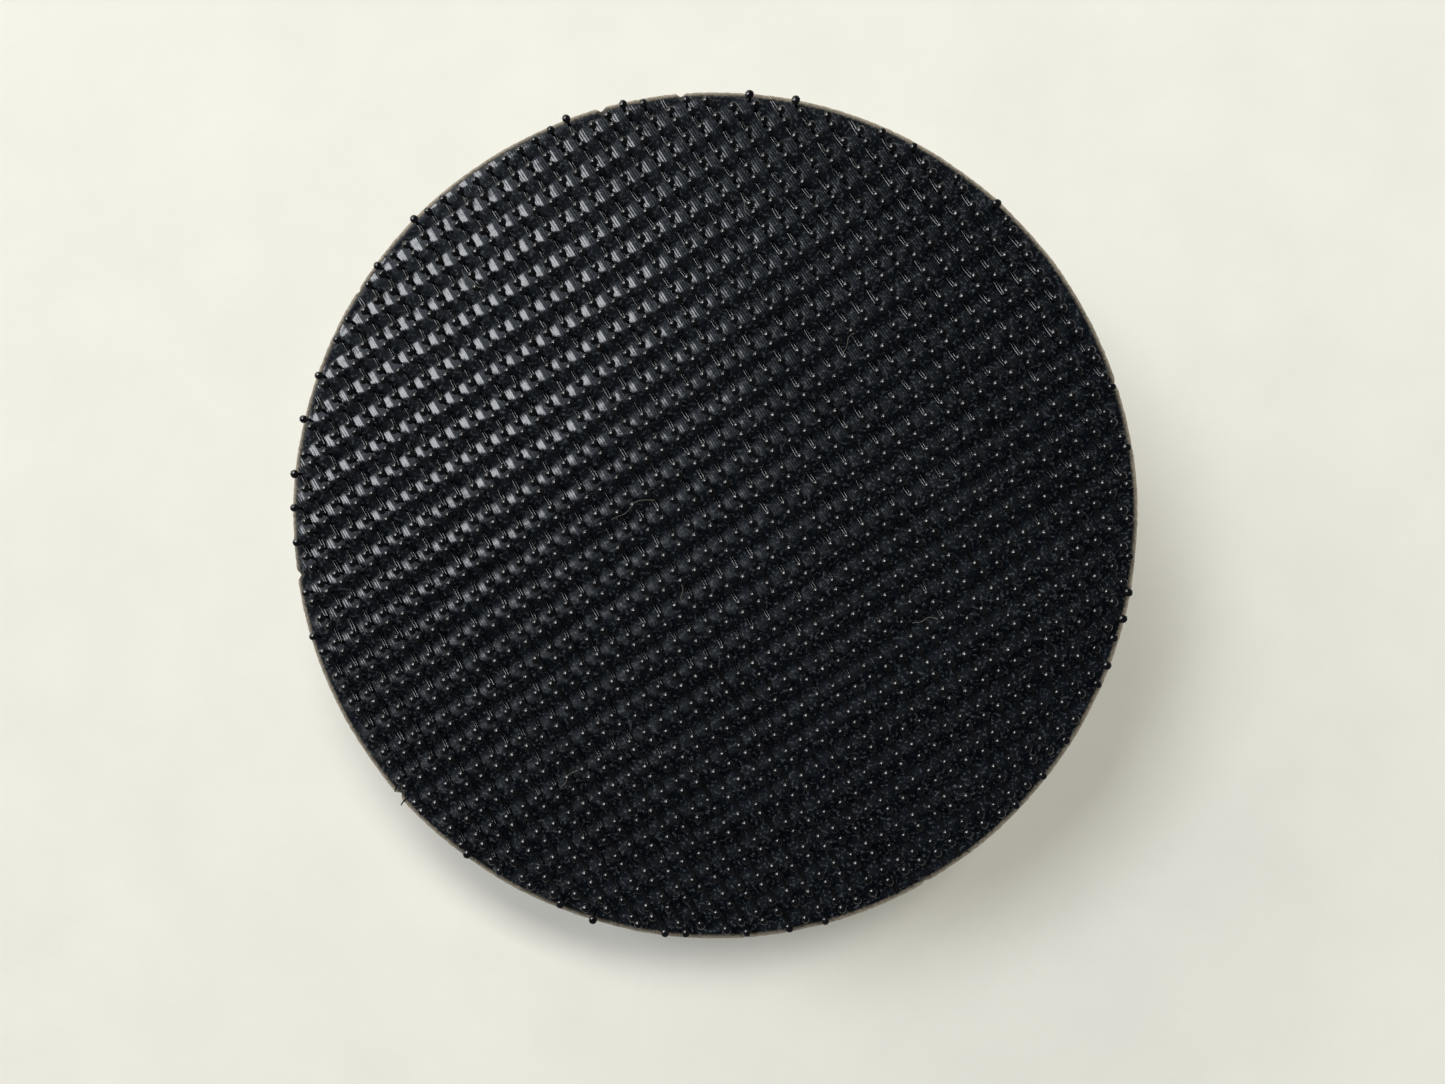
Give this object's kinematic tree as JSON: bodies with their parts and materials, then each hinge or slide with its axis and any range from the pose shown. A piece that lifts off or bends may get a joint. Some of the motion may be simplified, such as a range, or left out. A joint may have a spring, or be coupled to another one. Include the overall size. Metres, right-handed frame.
{
  "type": "polisher backing pad",
  "caption": "Round hook-faced backing pad for a rotary polisher: woven hook sheet on a tapered foam cushion, ribbed plastic plate and riveted steel hub with a threaded bore.",
  "frame": {"origin": "centre of the hub nut's open end, on the plane the pad stands on", "axes": "+Z along the spindle axis from the hub to the hook face, +X through the first rivet, +Y square to a spanner flat"},
  "size_m": [0.075, 0.075, 0.0304],
  "materials": {
    "zinc_plated_steel": "bright zinc plating, satin, with faint turning lines",
    "glass_filled_nylon": "moulded black, fine grain",
    "adhesive": "dry grey-brown film",
    "polyurethane_foam": "matte moulded skin over fine closed cells",
    "woven_nylon_sheet": "coated plain weave, satin",
    "nylon_hooks": "glossy black monofilament with melted mushroom tips"
  },
  "bodies": {
    "root": {"hub_nut": "zinc_plated_steel", "hub_flange": "zinc_plated_steel", "rivet_1": "zinc_plated_steel", "rivet_2": "zinc_plated_steel", "rivet_3": "zinc_plated_steel", "rivet_4": "zinc_plated_steel", "rivet_5": "zinc_plated_steel", "rivet_6": "zinc_plated_steel", "rivet_washer_1": "zinc_plated_steel", "rivet_washer_2": "zinc_plated_steel", "rivet_washer_3": "zinc_plated_steel", "rivet_washer_4": "zinc_plated_steel", "rivet_washer_5": "zinc_plated_steel", "rivet_washer_6": "zinc_plated_steel", "backing_plate": "glass_filled_nylon", "plate_adhesive": "adhesive", "foam_cushion": "polyurethane_foam", "facing_adhesive": "adhesive", "hook_sheet": "woven_nylon_sheet", "hook_pile": "nylon_hooks"}
  },
  "joints": []
}
